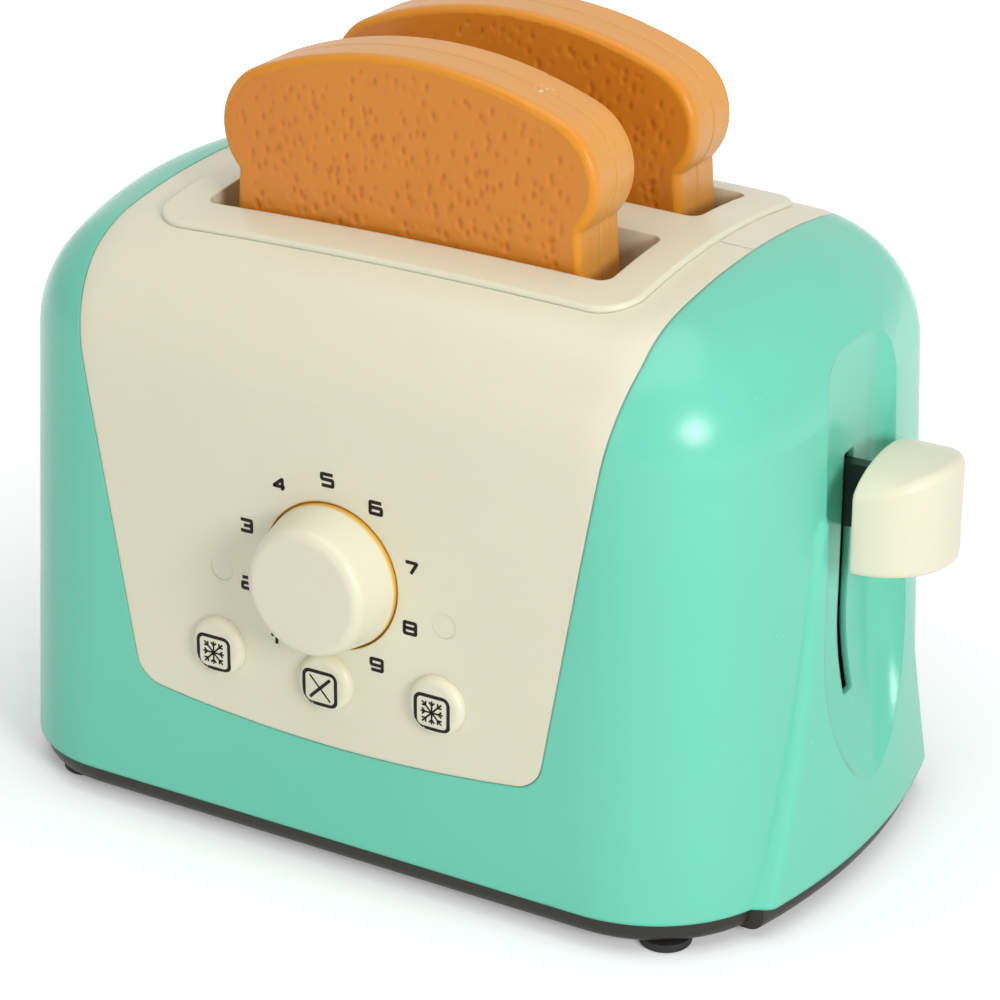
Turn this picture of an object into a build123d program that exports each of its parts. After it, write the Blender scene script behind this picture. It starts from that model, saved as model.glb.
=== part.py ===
"""Toy pop-up toaster: moulded body, two toast slices, lever carriage, dial and trip latch.

Millimetres, +Z up.  Every piece is drawn with the floor at z = 0 and the body centred on
x = y = 0, and is then moved so that the whole footprint is centred on the origin.
+X is the end with the lever, -Y is the front with the dial.
"""
from build123d import *
from math import radians, sqrt, tan
import os

os.makedirs("parts", exist_ok=True)

# ---- body form ----------------------------------------------------------------------------
foot_height = 2.2
base_band = 5.8
shell_bottom = foot_height + base_band
body_top = 142.4
half_depth = 63.5
front_draft = 1.0
corner_radius = 31.0
end_bow = 12.8
plain_end = 102.2
plain_end_draft = 3.4
lever_end = 99.6
lever_end_draft = 1.9
lever_corner_radius = 33.0
shoulder_radius = 29.0
crown_depth_radius = 234.0
crown_length_radius = 1400.0
wall = 2.4
outside = 160.0                     # reach of a cut that has to pass right through the body

# ---- flared pad on the lever end ------------------------------------------------------------
pad_end = 102.9
pad_foot_half = 49.5
pad_waist_half = 35.6
pad_waist_height = 42.0
pad_head_half = 26.0
pad_head_height = 96.0
pad_head_corner = 5.0
pad_step_half = 41.5
pad_root = 86.0
pad_side_angle = 24.0
pad_edge = 3.5
pad_edge_start = 95.0

# ---- saddle: the cream panels let into the body ------------------------------------------------
saddle_bottom = 31.4
saddle_sag = 4.0
saddle_bottom_half = 52.0
saddle_top_half = 68.5
saddle_top_height = 131.0
saddle_corner = 7.5
panel_gap = 0.15
panel_seam = 0.3
panel_rim = 2.5
panel_flange = 3.5
lap_clearance = 0.2
lap_thickness = 1.8

# ---- slot surround and chutes --------------------------------------------------------------------
surround_margin = 8.3
surround_length = 2 * (saddle_top_half - surround_margin)
surround_depth = 85.0
surround_corner = 9.0
surround_raise = 1.2
surround_edge = 0.9
slot_end_frame = 9.4
slot_length = surround_length - 2 * slot_end_frame
slot_width = 25.3
slot_pitch = 40.1
slot_corner = 3.0
skirt_wall = 2.2
skirt_bottom = 126.0
chute_wall = 2.0
chute_fit = 0.1
chute_top = 133.0
chute_bottom = 96.0
window_gap = 0.3

# ---- toast slices -------------------------------------------------------------------------------------
toast_thickness = 18.0
toast_pitch = 44.4
toast_bottom = 88.0
toast_end_gap = 4.0
toast_bulge_half = slot_length / 2 - toast_end_gap
toast_bulge_height = 161.0
toast_side_half = toast_bulge_half - 1.8
toast_side_top = 118.0
toast_neck_half = toast_bulge_half - 3.8
toast_neck_height = 149.0
toast_shoulder_half = toast_bulge_half - 8.8
toast_shoulder_height = 172.6
toast_top = 180.2
toast_corner = 6.0
toast_edge = 1.8
toast_rim = 2.6
toast_face_recess = 1.1
toast_seam_edge = 0.25
toast_wall = 2.0

# ---- lever recess and slot ----------------------------------------------------------------------------------
recess_floor = 92.5
recess_half = 19.6
recess_top = 132.2
recess_top_corner = 14.0
recess_belly_half = 21.0
recess_belly_height = 66.0
recess_low_half = 16.5
recess_low_height = 35.0
recess_bottom = 13.0
recess_bottom_corner = 11.0
recess_flat_bottom = 63.0
recess_floor_radius = 90.0
recess_floor_edge = 9.0
recess_wall = 1.5
lever_slot_width = 4.6
lever_slot_corner = 0.6
lever_slot_top = 99.5
lever_slot_bottom = 42.2

# ---- lever knob -------------------------------------------------------------------------------------------------
travel = 39.5
stem_thickness = 3.4
stem_top = 97.4
stem_bottom = 82.6
knob_back = 101.0
knob_half_width = 16.2
knob_reach = 17.0
knob_bottom = 78.6
knob_crown_bottom = 94.0
knob_crown_half = 17.2
knob_top = 102.2
knob_edge = 2.2
knob_bottom_edge = 1.2
knob_socket = 5.0
push_fit = 0.05

# ---- carriage, guide rods and spring ------------------------------------------------------------------------------
rod_x = 78.0
rod_y = 10.0
rod_radius = 1.5
rod_bottom = 8.0
rod_running_gap = 0.06
slider_length = 12.0
slider_half = 15.0
slider_bottom = 76.0
slider_top = 98.0
stop_gap = 0.3
beam_back = 60.0
beam_bottom = 80.0
platform_width = 11.0
platform_thickness = 3.0
platform_tip = -40.0
platform_rib = 2.0
catch_left = 6.5
catch_right = 12.5
catch_top = 87.0
catch_bottom = 82.0
bracket_bottom = 121.0
bracket_thickness = 3.0
bracket_half = 26.0
bracket_screw_y = 21.0
sleeve_radius = 3.4
spring_wire = 1.0
spring_radius = 4.2
spring_turns = 6
spring_seat = 14.0
spring_peg = 3.2
spring_peg_height = 8.0

# ---- dial, cam and trip latch -----------------------------------------------------------------------------------------
dial_height = 73.0
dial_base_radius = 16.8
dial_face_radius = 14.4
dial_reach = 11.5
dial_edge = 2.8
dial_wall = 2.2
dial_recess_radius = 17.1
dial_recess_depth = 1.0
dial_float = 0.4
hub_radius = 6.0
hub_length = 3.5
spindle_radius = 3.0
spindle_running_gap = 0.06
plate_back = 52.6
plate_thickness = 2.4
boss_x = 28.6
boss_height = 68.1
boss_radius = 3.6
layer_gap = 0.5
cam_thickness = 3.4
cam_base_radius = 8.0
cam_tip_radius = 3.0
cam_reach = 15.0
cam_angle = 120.0
pivot_x = 24.0
pivot_height = 26.0
pivot_hub_radius = 4.2
pin_radius = 1.5
pin_head_radius = 2.8
pin_running_gap = 0.05
follower_radius = 2.6
follower_gap = 0.4
latch_swing = 9.0
hook_tip = 9.5
hook_root = 19.0
hook_height = 5.6
hook_depth = 4.2

# ---- buttons, base, feet and screws ------------------------------------------------------------------------------------------
button_x = 28.3
button_height = 50.4
middle_button_height = 48.8
button_radius = 7.0
button_rise = 2.9
witness_radius = 2.9
witness_depth = 0.1
base_inset = 1.3
base_edge = 3.4
base_floor = 2.4
spigot_gap = 0.3
spigot_height = 4.0
spigot_wall = 2.0
foot_x = 77.5
foot_y = 51.5
foot_radius = 5.9
foot_edge = 0.8
foot_peg_radius = 2.5
post_x = 62.0
post_y = 51.0
post_radius = 4.2
post_top = 30.0
post_web = 2.0
screw_radius = 1.4
screw_head_radius = 3.0
screw_head_height = 2.0
screw_clearance = 0.35


# ==== shared forms ================================================================================
def surface_depth(height, inset=0.0):
    """Distance from the middle plane to the front or rear surface at one height."""
    return half_depth - inset - (height - shell_bottom) * tan(radians(front_draft))


def plan_outline(inset, height, on_pad):
    """Rounded plan of the body at one height: straight front and back, gently bowed ends."""
    if on_pad:
        end, draft, right_corner = pad_end, plain_end_draft, corner_radius
    else:
        end, draft, right_corner = lever_end, lever_end_draft, lever_corner_radius
    rise = height - shell_bottom
    depth = surface_depth(height, inset)
    left = plain_end - inset - rise * tan(radians(plain_end_draft))
    right = end - inset - rise * tan(radians(draft))
    with BuildSketch(Plane.XY.offset(height)) as plan:
        with BuildLine():
            Line((end_bow - left, -depth), (right - end_bow, -depth))
            ThreePointArc((right - end_bow, -depth), (right, 0), (right - end_bow, depth))
            Line((right - end_bow, depth), (end_bow - left, depth))
            ThreePointArc((end_bow - left, depth), (-left, 0), (end_bow - left, -depth))
        make_face()
        fillet(plan.vertices().filter_by_position(Axis.X, -left, 0), corner_radius - inset)
        fillet(plan.vertices().filter_by_position(Axis.X, right - end_bow - 1, right), right_corner - inset)
    return plan.sketch


def body_form(inset, bottom=shell_bottom, on_pad=False):
    """The body as a solid block, shrunk by an inset: drafted sides, crowned top, round shoulders."""
    top = body_top - inset
    pole = top - crown_length_radius
    rim = top - crown_depth_radius + (crown_depth_radius**2 - (outside / 2) ** 2) ** 0.5
    with BuildPart() as form:
        for height in (bottom, body_top + 5):
            add(plan_outline(inset, height, on_pad))
        loft()
        with BuildSketch(Plane.YZ):
            with BuildLine():
                Polyline((-outside / 2, rim), (-outside / 2, pole), (outside / 2, pole), (outside / 2, rim))
                ThreePointArc((outside / 2, rim), (0, top), (-outside / 2, rim))
            make_face()
        revolve(axis=Axis((0, 0, pole), (0, 1, 0)), mode=Mode.INTERSECT)
        fillet(form.faces().sort_by(Axis.Z)[-1].edges(), shoulder_radius - inset)
    return form.part


def saddle(grow):
    """Prism from front to back with the outline of the cream saddle, grown by some amount."""
    with BuildPart() as prism:
        with BuildSketch(Plane.XZ) as outline:
            with BuildLine():
                ThreePointArc(
                    (-saddle_bottom_half, saddle_bottom + saddle_sag),
                    (0, saddle_bottom),
                    (saddle_bottom_half, saddle_bottom + saddle_sag),
                )
                Polyline(
                    (saddle_bottom_half, saddle_bottom + saddle_sag),
                    (saddle_top_half, saddle_top_height),
                    (saddle_top_half, outside),
                    (-saddle_top_half, outside),
                    (-saddle_top_half, saddle_top_height),
                    (-saddle_bottom_half, saddle_bottom + saddle_sag),
                )
            make_face()
            fillet(outline.vertices().group_by(Axis.Y)[0], saddle_corner)
            offset(amount=grow, mode=Mode.REPLACE)
        extrude(amount=outside, both=True)
    return prism.part


def pad_prism():
    """Flared outline of the pad round the lever, narrowing outwards."""
    foot = pad_foot_half
    waist = pad_waist_half
    head = pad_head_half
    with BuildPart() as prism:
        with BuildSketch(Plane.YZ.offset(pad_root)) as outline:
            with BuildLine():
                Line((-foot, 0), (foot, 0))
                ThreePointArc((foot, 0), (waist, pad_waist_height), (head, pad_head_height))
                Line((head, pad_head_height), (-head, pad_head_height))
                ThreePointArc((-head, pad_head_height), (-waist, pad_waist_height), (-foot, 0))
            make_face()
            fillet(outline.vertices().group_by(Axis.Y)[-1], pad_head_corner)
        extrude(amount=pad_end + 4 - pad_root, taper=pad_side_angle)
    return prism.part


def button_dome(x, z):
    """Shallow dome of a moulded push button, standing on the front surface."""
    ball = (button_radius**2 + button_rise**2) / (2 * button_rise)
    base = surface_depth(z)
    with BuildPart() as dome:
        with Locations((x, ball - button_rise - base, z)):
            Sphere(ball)
        with Locations((x, wall / 2 - base, z)):
            Box(3 * ball, outside, 3 * ball, align=(Align.CENTER, Align.MAX, Align.CENTER), mode=Mode.INTERSECT)
    return dome.part


def recess(grow):
    """Scoop in the lever end: flat upper floor sweeping out to the surface at the bottom."""
    floor = recess_floor - grow
    sweep = recess_floor_radius + grow
    foot = floor + sweep - sqrt(sweep**2 - recess_flat_bottom**2)
    with BuildPart() as scoop:
        with BuildSketch(Plane.YZ) as outline:
            with BuildLine():
                Polyline(
                    (recess_belly_half, recess_belly_height),
                    (recess_half, 92),
                    (recess_half, recess_top),
                    (-recess_half, recess_top),
                    (-recess_half, 92),
                    (-recess_belly_half, recess_belly_height),
                )
                ThreePointArc(
                    (-recess_belly_half, recess_belly_height),
                    (-recess_low_half, recess_low_height),
                    (0, recess_bottom),
                )
                ThreePointArc(
                    (0, recess_bottom),
                    (recess_low_half, recess_low_height),
                    (recess_belly_half, recess_belly_height),
                )
            make_face()
            fillet(outline.vertices().group_by(Axis.Y)[0], recess_bottom_corner)
            fillet(outline.vertices().group_by(Axis.Y)[-1], recess_top_corner)
            if grow:
                offset(amount=grow, mode=Mode.REPLACE)
        extrude(amount=outside)
        with BuildSketch(Plane.XZ):
            with BuildLine():
                Polyline((floor, recess_flat_bottom), (floor, outside), (outside, outside), (outside, 0), (foot, 0))
                RadiusArc((foot, 0), (floor, recess_flat_bottom), sweep)
            make_face()
        extrude(amount=outside, both=True, mode=Mode.INTERSECT)
        # only the edges round the floor are rounded, not the line where its flat part ends
        floor_edges = scoop.edges().filter_by_position(Axis.X, floor - 1, foot)
        level_edges = floor_edges.filter_by(Axis.Y).filter_by_position(Axis.Z, 0, recess_flat_bottom + 1)
        fillet(floor_edges - level_edges, recess_floor_edge + grow)
    return scoop.part


def keep(piece, name):
    """Label one piece, centre the footprint on the origin and write it."""
    placed = Pos(-centre_x, -centre_y, 0) * piece
    placed.label = name
    export_step(placed, f"parts/{name}.step")


dial_front = surface_depth(dial_height) + dial_reach
centre_x = (knob_back + knob_reach - plain_end) / 2
centre_y = (half_depth - dial_front) / 2

outer_form = body_form(0)
inner_form = body_form(wall, 0)
raised_form = body_form(-surround_raise)
lap_outer_form = body_form(wall + lap_clearance)
lap_inner_form = body_form(wall + lap_clearance + lap_thickness, 0)


# ==== body shell: one moulding, open below and cut out for the saddle =============================
with BuildPart() as pad:
    add(body_form(0, on_pad=True))
    add(pad_prism(), mode=Mode.INTERSECT)
    rim = pad.edges().filter_by_position(Axis.X, pad_edge_start, outside)
    rim = rim.filter_by_position(Axis.Z, shell_bottom + 1, outside)
    mid_line = rim.filter_by_position(Axis.Y, -1, 1).filter_by_position(Axis.Z, 0, pad_head_height - 2 * pad_head_corner)
    fillet(rim - mid_line, pad_edge)

with BuildPart() as cavity:
    add(inner_form)
    add(recess(recess_wall), mode=Mode.SUBTRACT)

with BuildPart() as body_shell:
    add(outer_form)
    add(pad.part)
    add(recess(0), mode=Mode.SUBTRACT)
    add(cavity.part, mode=Mode.SUBTRACT)
    add(saddle(0), mode=Mode.SUBTRACT)
    # lever slot
    with BuildSketch(Plane.YZ.offset(slider_bottom)):
        with Locations((0, (lever_slot_top + lever_slot_bottom) / 2)):
            RectangleRounded(lever_slot_width, lever_slot_top - lever_slot_bottom, lever_slot_corner)
    extrude(amount=outside, mode=Mode.SUBTRACT)

with BuildPart() as shell_posts:
    # four screw posts, each with a web to the front or rear wall
    with BuildSketch(Plane.XY.offset(shell_bottom + spigot_height)):
        with GridLocations(2 * post_x, 2 * post_y, 2, 2):
            Circle(post_radius)
        with GridLocations(2 * post_x, 2 * (post_y + half_depth) / 2, 2, 2):
            Rectangle(post_web, half_depth - post_y)
    extrude(amount=post_top - shell_bottom - spigot_height)
    # two bosses under the shoulder carry the bracket of the guide rods
    with BuildSketch(Plane.XY.offset(bracket_bottom + bracket_thickness)):
        with Locations((rod_x, -bracket_screw_y), (rod_x, bracket_screw_y)):
            Circle(post_radius)
    extrude(amount=body_top - bracket_bottom)
    add(body_form(wall / 2), mode=Mode.INTERSECT)
    with Locations((0, 0, shell_bottom + spigot_height)):
        with GridLocations(2 * post_x, 2 * post_y, 2, 2):
            Cylinder(
                screw_radius + push_fit,
                post_top - shell_bottom - spigot_height - 2,
                align=(Align.CENTER, Align.CENTER, Align.MIN),
                mode=Mode.SUBTRACT,
            )
    with Locations((rod_x, -bracket_screw_y, bracket_bottom), (rod_x, bracket_screw_y, bracket_bottom)):
        Cylinder(
            screw_radius + push_fit,
            12,
            align=(Align.CENTER, Align.CENTER, Align.MIN),
            mode=Mode.SUBTRACT,
        )

with BuildPart() as body_shell_finished:
    add(body_shell.part)
    add(shell_posts.part)
keep(body_shell_finished.part, "body_shell")


# ==== cream panels: outer skin, stiff rim and a flange that laps behind the shell ==================
with BuildPart() as saddle_skin:
    add(outer_form)
    add(inner_form, mode=Mode.SUBTRACT)
    add(saddle(-panel_gap), mode=Mode.INTERSECT)

with BuildPart() as saddle_rim:
    add(outer_form)
    add(lap_inner_form, mode=Mode.SUBTRACT)
    add(saddle(-panel_gap), mode=Mode.INTERSECT)
    add(saddle(-panel_gap - panel_rim), mode=Mode.SUBTRACT)

with BuildPart() as saddle_flange:
    add(lap_outer_form)
    add(lap_inner_form, mode=Mode.SUBTRACT)
    add(saddle(panel_flange), mode=Mode.INTERSECT)
    add(saddle(-panel_gap - panel_rim), mode=Mode.SUBTRACT)

window_length = slot_length + 2 * (skirt_wall + window_gap)
window_depth = slot_pitch + slot_width + 2 * (skirt_wall + window_gap)
with BuildPart() as saddle_blank:
    add(saddle_skin.part)
    add(saddle_rim.part)
    add(saddle_flange.part)
    with BuildSketch(Plane.XY.offset(skirt_bottom)):
        RectangleRounded(window_length, window_depth, slot_corner + skirt_wall)
    extrude(amount=outside, mode=Mode.SUBTRACT)

with BuildPart() as rear_panel:
    add(saddle_blank.part)
    with Locations((0, panel_seam / 2, 0)):
        Box(outside, outside, outside, align=(Align.CENTER, Align.MIN, Align.MIN), mode=Mode.INTERSECT)
keep(rear_panel.part, "rear_panel")

dial_seat = surface_depth(dial_height) - dial_recess_depth
skin_back = surface_depth(dial_height, wall)
plate_front = plate_back + plate_thickness
with BuildPart() as front_panel:
    add(saddle_blank.part)
    with Locations((0, -panel_seam / 2, 0)):
        Box(outside, outside, outside, align=(Align.CENTER, Align.MAX, Align.MIN), mode=Mode.INTERSECT)
    # hub for the dial spindle and two bosses for the mechanism plate, on the back of the skin
    with BuildSketch(Plane.XZ.offset(skin_back - hub_length)):
        with Locations((0, dial_height)):
            Circle(hub_radius)
    extrude(amount=hub_length + wall / 2)
    with BuildSketch(Plane.XZ.offset(plate_front)):
        with Locations((-boss_x, boss_height), (boss_x, boss_height)):
            Circle(boss_radius)
    extrude(amount=skin_back + wall / 2 - plate_front)
    # three moulded push-button domes
    for x, z in ((-button_x, button_height), (0, middle_button_height), (button_x, button_height)):
        add(button_dome(x, z))
    # round seat of the dial and the spindle bore
    with BuildSketch(Plane.XZ.offset(dial_seat)):
        with Locations((0, dial_height)):
            Circle(dial_recess_radius)
    extrude(amount=outside, mode=Mode.SUBTRACT)
    with BuildSketch(Plane.XZ):
        with Locations((0, dial_height)):
            Circle(spindle_radius + spindle_running_gap)
    extrude(amount=outside, mode=Mode.SUBTRACT)
    with BuildSketch(Plane.XZ.offset(plate_front - 1)):
        with Locations((-boss_x, boss_height), (boss_x, boss_height)):
            Circle(screw_radius + push_fit)
    extrude(amount=skin_back - plate_front, mode=Mode.SUBTRACT)
    # shallow round witness marks over the two bosses
    with BuildSketch(Plane.XZ.offset(surface_depth(boss_height) - witness_depth)):
        with Locations((-boss_x, boss_height), (boss_x, boss_height)):
            Circle(witness_radius)
    extrude(amount=outside, mode=Mode.SUBTRACT)
keep(front_panel.part, "front_panel")


# ==== slot surround: raised frame with a skirt round each slot, and a chute below each =============
def slot_columns(grow, low, high):
    """Two upright rounded blocks in the places of the toast slots."""
    with BuildPart() as columns:
        with BuildSketch(Plane.XY.offset(low)):
            with GridLocations(0, slot_pitch, 1, 2):
                RectangleRounded(slot_length + 2 * grow, slot_width + 2 * grow, slot_corner + grow)
        extrude(amount=high - low)
    return columns.part


with BuildPart() as slot_surround:
    add(raised_form)
    with BuildSketch(Plane.XY.offset(skirt_bottom)):
        RectangleRounded(surround_length, surround_depth, surround_corner)
    extrude(amount=outside, mode=Mode.INTERSECT)
    with BuildPart(mode=Mode.PRIVATE) as under_frame:
        add(outer_form)
        with BuildSketch(Plane.XY.offset(skirt_bottom)):
            RectangleRounded(
                window_length - 2 * window_gap,
                window_depth - 2 * window_gap,
                slot_corner + skirt_wall,
            )
        extrude(amount=outside, mode=Mode.SUBTRACT)
        add(inner_form)
        add(slot_columns(skirt_wall, skirt_bottom, body_top), mode=Mode.SUBTRACT)
    add(under_frame.part, mode=Mode.SUBTRACT)
    fillet(slot_surround.faces().sort_by(Axis.Z)[-1].outer_wire().edges(), surround_edge)
    add(slot_columns(0, skirt_bottom - 1, outside), mode=Mode.SUBTRACT)
keep(slot_surround.part, "slot_surround")

with BuildPart() as toast_chutes:
    add(slot_columns(skirt_wall + chute_fit + chute_wall, chute_bottom, chute_top))
    add(slot_columns(skirt_wall + chute_fit, chute_bottom - 1, chute_top + 1), mode=Mode.SUBTRACT)
keep(toast_chutes.solids().sort_by(Axis.Y)[0], "toast_chute_front")
keep(toast_chutes.solids().sort_by(Axis.Y)[-1], "toast_chute_rear")


# ==== base, feet and screws =======================================================================
foot_places = GridLocations(2 * foot_x, 2 * foot_y, 2, 2)
post_places = GridLocations(2 * post_x, 2 * post_y, 2, 2)
rod_places = Locations((rod_x, -rod_y), (rod_x, rod_y))
spigot_top = shell_bottom + spigot_height
head_seat = foot_height + screw_head_height + 1


def base_outline(inset, on_pad=False):
    """Plan of the base on the ground plane, following the lower edge of the shell."""
    return plan_outline(inset, shell_bottom, on_pad).moved(Location((0, 0, -shell_bottom)))


def base_block(on_pad):
    """Visible band of the base with its rounded lower edge."""
    with BuildPart() as block:
        with BuildSketch(Plane.XY.offset(foot_height)):
            add(base_outline(base_inset, on_pad))
        extrude(amount=base_band)
        fillet(block.faces().sort_by(Axis.Z)[0].edges(), base_edge)
    return block.part


with BuildPart() as base_pad:
    add(base_block(True))
    with Locations((pad_root, 0, 0)):
        Box(
            outside,
            2 * pad_step_half,
            outside,
            align=(Align.MIN, Align.CENTER, Align.MIN),
            mode=Mode.INTERSECT,
        )

with BuildPart() as base_plate:
    add(base_block(False))
    add(base_pad.part)
    # spigot that centres the base inside the shell
    with BuildSketch(Plane.XY.offset(shell_bottom)):
        add(base_outline(wall + spigot_gap))
    extrude(amount=spigot_height)
    with BuildSketch(Plane.XY.offset(foot_height + base_floor)):
        add(base_outline(wall + spigot_gap + spigot_wall))
    extrude(amount=outside, mode=Mode.SUBTRACT)
    # bosses for the screws, the guide rods and the spring
    with BuildSketch(Plane.XY.offset(foot_height)):
        with post_places:
            Circle(post_radius)
    extrude(amount=spigot_top - foot_height)
    with BuildSketch(Plane.XY.offset(foot_height)):
        with Locations((rod_x, 0)):
            SlotCenterToCenter(2 * rod_y, 2 * (spring_radius + spring_wire), rotation=90)
    extrude(amount=spring_seat - foot_height)
    with Locations((rod_x, 0, spring_seat)):
        Cylinder(spring_peg, spring_peg_height, align=(Align.CENTER, Align.CENTER, Align.MIN))
    with BuildSketch(Plane.XY.offset(rod_bottom)):
        with rod_places:
            Circle(rod_radius + push_fit)
    extrude(amount=outside, mode=Mode.SUBTRACT)
    with BuildSketch(Plane.XY):
        with post_places:
            Circle(screw_radius + screw_clearance)
        with foot_places:
            Circle(foot_peg_radius)
    extrude(amount=outside, mode=Mode.SUBTRACT)
    with BuildSketch(Plane.XY):
        with post_places:
            Circle(screw_head_radius + screw_clearance)
    extrude(amount=head_seat, mode=Mode.SUBTRACT)
keep(base_plate.part, "base_plate")

with BuildPart() as foot:
    Cylinder(foot_radius, foot_height, align=(Align.CENTER, Align.CENTER, Align.MIN))
    fillet(foot.edges().sort_by(Axis.Z)[0], foot_edge)
    Cylinder(foot_peg_radius, foot_height + base_floor, align=(Align.CENTER, Align.CENTER, Align.MIN))
for x, end in ((-foot_x, "plain_end"), (foot_x, "lever_end")):
    for y, side in ((-foot_y, "front"), (foot_y, "rear")):
        keep(Pos(x, y, 0) * foot.part, f"foot_{side}_{end}")


def screw(length):
    """Self-tapping screw: the seat of its pan head is on the origin and it points along +Z."""
    with BuildPart() as one:
        Cylinder(screw_radius, length, align=(Align.CENTER, Align.CENTER, Align.MIN))
        Cylinder(screw_head_radius, screw_head_height, align=(Align.CENTER, Align.CENTER, Align.MAX))
        fillet(one.edges().sort_by(Axis.Z)[0], screw_head_height / 3)
        with Locations((0, 0, -screw_head_height)):
            Box(screw_head_radius * 1.3, 0.7, 1.6, mode=Mode.SUBTRACT)
            Box(0.7, screw_head_radius * 1.3, 1.6, mode=Mode.SUBTRACT)
    return one.part


with BuildPart() as base_screws:
    with Locations((0, 0, head_seat)):
        with GridLocations(2 * post_x, 2 * post_y, 2, 2):
            add(screw(post_top - head_seat - 4))
keep(base_screws.part, "base_screws")


# ==== guide rods, bracket and spring ==============================================================
bracket_top = bracket_bottom + bracket_thickness
with BuildPart() as rod_bracket:
    with BuildSketch(Plane.XY.offset(bracket_bottom)):
        with Locations((rod_x, 0)):
            RectangleRounded(slider_length + 4, 2 * bracket_half, 4)
    extrude(amount=bracket_thickness)
    with BuildSketch(Plane.XY.offset(slider_top + stop_gap)):
        with rod_places:
            Circle(sleeve_radius)
    extrude(amount=bracket_bottom - slider_top - stop_gap)
    with BuildSketch(Plane.XY):
        with rod_places:
            Circle(rod_radius + push_fit)
        with Locations((rod_x, -bracket_screw_y), (rod_x, bracket_screw_y)):
            Circle(screw_radius + screw_clearance)
    extrude(amount=outside, mode=Mode.SUBTRACT)
keep(rod_bracket.part, "rod_bracket")

with BuildPart() as bracket_screws:
    with Locations((rod_x, -bracket_screw_y, bracket_bottom), (rod_x, bracket_screw_y, bracket_bottom)):
        add(screw(10))
keep(bracket_screws.part, "bracket_screws")

with BuildPart() as guide_rod:
    with Locations((rod_x, 0, rod_bottom)):
        Cylinder(rod_radius, bracket_top - rod_bottom, align=(Align.CENTER, Align.CENTER, Align.MIN))
    chamfer(guide_rod.edges(), 0.3)
keep(Pos(0, -rod_y, 0) * guide_rod.part, "guide_rod_front")
keep(Pos(0, rod_y, 0) * guide_rod.part, "guide_rod_rear")

spring_length = slider_bottom - spring_seat
with BuildPart() as popup_spring:
    with BuildLine():
        Helix(
            (spring_length - spring_wire) / spring_turns,
            spring_length - spring_wire,
            spring_radius,
            center=(rod_x, 0, spring_seat + spring_wire / 2),
        )
    with BuildSketch(Plane.XZ):
        with Locations((rod_x + spring_radius, spring_seat + spring_wire / 2)):
            Circle(spring_wire / 2)
    sweep(is_frenet=True)
keep(popup_spring.part, "popup_spring")


# ==== carriage: slider, stem, two toast platforms and the catch arm in one moulding ================
slider_back = rod_x - slider_length / 2
with BuildPart() as carriage:
    with BuildSketch(Plane.XY.offset(slider_bottom)):
        with Locations((rod_x, 0)):
            RectangleRounded(slider_length, 2 * slider_half, 2)
    extrude(amount=slider_top - slider_bottom)
    with BuildSketch(Plane.XY.offset(stem_bottom)):
        with Locations((rod_x, 0)):
            Rectangle(knob_back + knob_socket - rod_x, stem_thickness, align=(Align.MIN, Align.CENTER))
    extrude(amount=stem_top - stem_bottom)
    with BuildSketch(Plane.XY.offset(beam_bottom)):
        with Locations(((beam_back + slider_back) / 2, 0)):
            Rectangle(slider_back - beam_back, toast_pitch + platform_width)
        with Locations((slider_back, 0)):
            Rectangle(slider_length / 2, 2 * slider_half - 4)
    extrude(amount=toast_bottom - beam_bottom)
    with BuildSketch(Plane.XY.offset(toast_bottom - platform_thickness)):
        with Locations((platform_tip, -toast_pitch / 2), (platform_tip, toast_pitch / 2)):
            Rectangle(beam_back - platform_tip, platform_width, align=(Align.MIN, Align.CENTER))
    extrude(amount=platform_thickness)
    with BuildSketch(Plane.XY.offset(beam_bottom)):
        with Locations((platform_tip + 4, -toast_pitch / 2), (platform_tip + 4, toast_pitch / 2)):
            Rectangle(beam_back - platform_tip - 4, platform_rib, align=(Align.MIN, Align.CENTER))
    extrude(amount=toast_bottom - beam_bottom)
    with BuildSketch(Plane.XY.offset(catch_bottom)):
        with Locations((catch_left, -toast_pitch / 2)):
            Rectangle(
                catch_right - catch_left,
                plate_back - layer_gap - cam_thickness - layer_gap - toast_pitch / 2,
                align=(Align.MIN, Align.MAX),
            )
    extrude(amount=catch_top - catch_bottom)
    with BuildSketch(Plane.XY):
        with rod_places:
            Circle(rod_radius + rod_running_gap)
    extrude(amount=outside, mode=Mode.SUBTRACT)
keep(carriage.part, "carriage")

with BuildPart() as lever_knob:
    # half oval from above, flat against the end, with a crowned top
    with BuildSketch(Plane.XY.offset(knob_bottom)):
        with Locations((knob_back, 0)):
            Ellipse(knob_reach, knob_half_width)
            Rectangle(outside, outside, align=(Align.MAX, Align.CENTER), mode=Mode.SUBTRACT)
    extrude(amount=outside)
    with BuildSketch(Plane.YZ):
        with Locations((0, knob_crown_bottom)):
            Ellipse(knob_crown_half, knob_top - knob_crown_bottom)
            Rectangle(2 * knob_crown_half, outside, align=(Align.CENTER, Align.MAX))
    extrude(amount=outside, mode=Mode.INTERSECT)
    rim = lever_knob.edges().filter_by_position(Axis.X, knob_back + knob_edge, outside)
    fillet(rim.filter_by_position(Axis.Z, knob_crown_bottom, outside), knob_edge)
    rim = lever_knob.edges().filter_by_position(Axis.X, knob_back + knob_edge, outside)
    fillet(rim.filter_by_position(Axis.Z, 0, knob_bottom + 1), knob_bottom_edge)
    with BuildSketch(Plane.XY.offset(stem_bottom - push_fit)):
        with Locations((knob_back - 1, 0)):
            Rectangle(
                knob_socket + 1 + push_fit,
                stem_thickness + 2 * push_fit,
                align=(Align.MIN, Align.CENTER),
            )
    extrude(amount=stem_top - stem_bottom + 2 * push_fit, mode=Mode.SUBTRACT)
keep(lever_knob.part, "lever_knob")


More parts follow.
